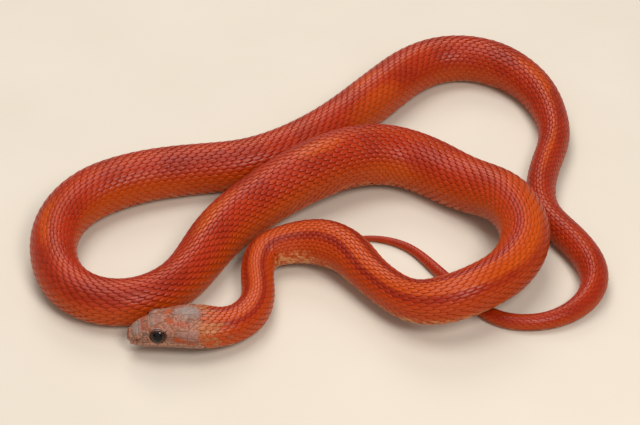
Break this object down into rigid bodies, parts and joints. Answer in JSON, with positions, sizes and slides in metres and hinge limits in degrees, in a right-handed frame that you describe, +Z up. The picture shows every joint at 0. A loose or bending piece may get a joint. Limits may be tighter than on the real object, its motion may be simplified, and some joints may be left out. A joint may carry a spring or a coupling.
{
  "type": "corn snake",
  "caption": "Life-size model of a young red corn snake resting in loose loops, with its head on the floor.",
  "frame": {"origin": "middle of the outline seen from above, on the floor under the belly", "axes": "+X along the longest extent, with the head at the -X, -Y corner; +Z up"},
  "size_m": [0.138, 0.1165, 0.0166],
  "materials": {
    "body_skin": "smooth overlapping scales with a soft sheen, brick red above and orange on the flanks",
    "head_skin": "smooth shields, blue-grey and orange above, pale at the lips",
    "eye": "wet gloss over a dark iris and a round black pupil"
  },
  "bodies": {
    "root": {"head": "head_skin", "lower_jaw": "head_skin", "eye_left": "eye", "eye_right": "eye", "neck_1": "body_skin", "neck_2": "body_skin", "neck_3": "body_skin", "front_body_1": "body_skin", "front_body_2": "body_skin", "front_body_3": "body_skin", "front_body_4": "body_skin", "middle_body_1": "body_skin", "middle_body_2": "body_skin", "middle_body_3": "body_skin", "middle_body_4": "body_skin", "middle_body_5": "body_skin", "middle_body_6": "body_skin", "rear_body_1": "body_skin", "rear_body_2": "body_skin", "rear_body_3": "body_skin", "rear_body_4": "body_skin", "rear_body_5": "body_skin", "rear_body_6": "body_skin", "rear_body_7": "body_skin", "rear_body_8": "body_skin", "rear_body_9": "body_skin", "tail_1": "body_skin", "tail_2": "body_skin", "tail_3": "body_skin", "tail_4": "body_skin", "tail_5": "body_skin", "tail_6": "body_skin", "tail_7": "body_skin", "tail_8": "body_skin"}
  },
  "joints": []
}
